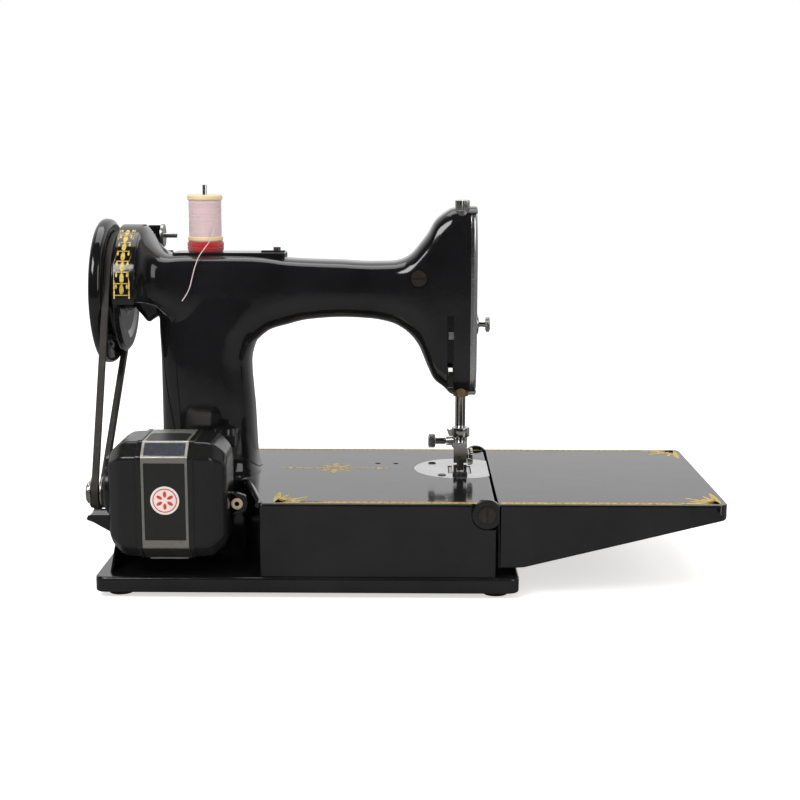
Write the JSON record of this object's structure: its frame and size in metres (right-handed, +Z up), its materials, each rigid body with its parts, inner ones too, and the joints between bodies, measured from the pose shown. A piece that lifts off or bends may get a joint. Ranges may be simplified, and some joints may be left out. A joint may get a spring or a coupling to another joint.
{
  "type": "sewing machine",
  "caption": "Portable electric sewing machine with arched arm, folding extension table, hand wheel, belt-driven rear motor and spool of thread.",
  "frame": {"origin": "centre of the base at the underside of the feet", "axes": "+X from the hand wheel to the folding table, +Y from the motor side to the sewing side, +Z up"},
  "size_m": [0.3988, 0.177, 0.2463],
  "materials": {
    "enamel": "gloss black enamel",
    "nickel": "polished nickel plate",
    "steel": "machined steel",
    "bronze": "sintered bronze",
    "rubber": "worn rubber",
    "felt": "red felt",
    "oil_felt": "oil felt",
    "spool": "cream",
    "thread": "cotton thread",
    "phenolic": "black phenolic",
    "screw": "browned steel"
  },
  "bodies": {
    "machine": {"bed_casting": "enamel", "drip_tray": "enamel", "tray_felt": "oil_felt", "tray_thumb_nut": "nickel", "rubber_feet": "rubber", "table_hinge_screws": "screw", "arm_casting": "enamel", "small_screws": "steel", "needle_plate": "nickel", "bobbin_case": "steel", "shaft_bushings": "bronze", "face_plate": "nickel", "tension_discs": "nickel", "drive_belt": "rubber", "motor_shells": "phenolic", "motor_band": "enamel", "motor_core": "steel", "motor_bracket": "enamel", "terminal_lug": "phenolic", "spool_pin": "nickel", "spool_felt": "felt", "thread_tail": "thread", "stitch_plate": "nickel", "lamp": "enamel", "presser_spring": "steel"},
    "table": {"extension_table": "enamel"},
    "main_shaft": {"arm_shaft": "steel", "arm_gear": "steel", "crank_disc": "steel", "hand_wheel": "enamel"},
    "stop_motion": {"stop_motion_knob": "nickel"},
    "upright": {"upright_shaft": "steel", "upright_gears": "steel"},
    "hook": {"hook_shaft": "steel", "rotary_hook": "steel"},
    "bobbin": {"bobbin": "steel"},
    "motor_rotor": {"motor_shaft": "steel", "motor_pulley": "steel"},
    "needle_bar": {"needle_bar": "nickel", "needle_bar_link": "steel", "needle_clamp": "nickel", "needle": "steel"},
    "needle_screw": {"needle_clamp_screw": "nickel"},
    "take_up": {"take_up_lever": "nickel"},
    "presser": {"presser_bar": "nickel", "thread_cutter": "nickel", "foot_holder": "nickel"},
    "foot": {"presser_foot": "nickel"},
    "foot_screw": {"foot_screw": "nickel"},
    "pressure": {"pressure_screw": "nickel"},
    "lifter": {"presser_lifter": "nickel"},
    "face_screw": {"face_plate_screw": "nickel"},
    "tension": {"tension_nut": "nickel"},
    "feed_lift": {"feed_bar": "steel"},
    "feed": {"feed_dog": "steel"},
    "winder": {"bobbin_winder": "enamel"},
    "winder_spindle": {"winder_spindle": "steel"},
    "spool": {"thread_spool": "spool", "spool_thread": "thread"},
    "stitch": {"stitch_lever": "nickel"}
  },
  "joints": [
    {"name": "table_fold", "type": "hinge", "parent": "machine", "child": "table", "pos_m": [0.1089, 0, 0.0521], "axis": [0, -1, 0], "range_deg": [0, 82]},
    {"name": "hand_wheel_turn", "type": "hinge", "parent": "machine", "child": "main_shaft", "pos_m": [-0.129, 0.015, 0.1775], "axis": [1, 0, 0], "continuous": true},
    {"name": "stop_motion_turn", "type": "hinge", "parent": "main_shaft", "child": "stop_motion", "pos_m": [-0.14, 0.015, 0.1775], "axis": [1, 0, 0], "range_deg": [-90, 0]},
    {"name": "upright_turn", "type": "hinge", "parent": "machine", "child": "upright", "pos_m": [-0.072, 0.015, 0.1], "axis": [0, 0, 1], "continuous": true},
    {"name": "hook_turn", "type": "hinge", "parent": "machine", "child": "hook", "pos_m": [0.09, 0.015, 0.0345], "axis": [1, 0, 0], "continuous": true},
    {"name": "bobbin_turn", "type": "hinge", "parent": "machine", "child": "bobbin", "pos_m": [0.1, 0.015, 0.0345], "axis": [1, 0, 0], "continuous": true},
    {"name": "motor_turn", "type": "hinge", "parent": "machine", "child": "motor_rotor", "pos_m": [-0.083, -0.065, 0.061], "axis": [1, 0, 0], "continuous": true},
    {"name": "needle_bar_slide", "type": "slide", "parent": "machine", "child": "needle_bar", "axis": [0, 0, 1], "range_m": [-0.004, 0.0255]},
    {"name": "needle_screw_turn", "type": "hinge", "parent": "needle_bar", "child": "needle_screw", "pos_m": [0.0802, 0.014, 0.078], "axis": [1, 0, 0], "range_deg": [-360, 0]},
    {"name": "take_up_swing", "type": "hinge", "parent": "machine", "child": "take_up", "pos_m": [0.0925, 0.028, 0.187], "axis": [1, 0, 0], "range_deg": [-25, 25]},
    {"name": "presser_lift", "type": "slide", "parent": "machine", "child": "presser", "axis": [0, 0, 1], "range_m": [0, 0.0065], "deforming": ["presser_spring"]},
    {"name": "foot_tilt", "type": "hinge", "parent": "presser", "child": "foot", "pos_m": [0.0952, 0.0042, 0.063], "axis": [1, 0, 0], "range_deg": [-0.8, 0.8]},
    {"name": "foot_screw_turn", "type": "hinge", "parent": "presser", "child": "foot_screw", "pos_m": [0.1012, 0.001, 0.0703], "axis": [1, 0, 0], "range_deg": [-360, 0]},
    {"name": "pressure_turn", "type": "hinge", "parent": "machine", "child": "pressure", "pos_m": [0.0952, 0.001, 0.21], "axis": [0, 0, 1], "range_deg": [-360, 360]},
    {"name": "lifter_raise", "type": "hinge", "parent": "machine", "child": "lifter", "pos_m": [0.088, 0.002, 0.128], "axis": [-1, 0, 0], "range_deg": [0, 65]},
    {"name": "face_screw_turn", "type": "hinge", "parent": "machine", "child": "face_screw", "pos_m": [0.11, 0.008, 0.157], "axis": [1, 0, 0], "range_deg": [-360, 0]},
    {"name": "tension_turn", "type": "hinge", "parent": "machine", "child": "tension", "pos_m": [0.088, 0.052, 0.146], "axis": [0, 1, 0], "range_deg": [-360, 360]},
    {"name": "feed_lift_slide", "type": "slide", "parent": "machine", "child": "feed_lift", "axis": [0, 0, -1], "range_m": [0, 0.0012]},
    {"name": "feed_travel", "type": "slide", "parent": "feed_lift", "child": "feed", "axis": [0, 1, 0], "range_m": [-0.0018, 0.0018]},
    {"name": "winder_engage", "type": "hinge", "parent": "machine", "child": "winder", "pos_m": [-0.112, 0.056, 0.2], "axis": [1, 0, 0], "range_deg": [0, 32]},
    {"name": "winder_spin", "type": "hinge", "parent": "winder", "child": "winder_spindle", "pos_m": [-0.112, 0.056, 0.2115], "axis": [1, 0, 0], "continuous": true},
    {"name": "spool_turn", "type": "hinge", "parent": "machine", "child": "spool", "pos_m": [-0.0715, 0.015, 0.22], "axis": [0, 0, 1], "continuous": true},
    {"name": "stitch_set", "type": "hinge", "parent": "machine", "child": "stitch", "pos_m": [-0.071, 0.045, 0.112], "axis": [0, 1, 0], "range_deg": [-60, 60]}
  ],
  "couplings": [
    {"joint": "upright_turn", "follows": "hand_wheel_turn", "ratio": 1},
    {"joint": "hook_turn", "follows": "hand_wheel_turn", "ratio": -2},
    {"joint": "motor_turn", "follows": "hand_wheel_turn", "ratio": 3.6667},
    {"joint": "presser_lift", "follows": "lifter_raise", "m_per_rad": 0.00573}
  ]
}
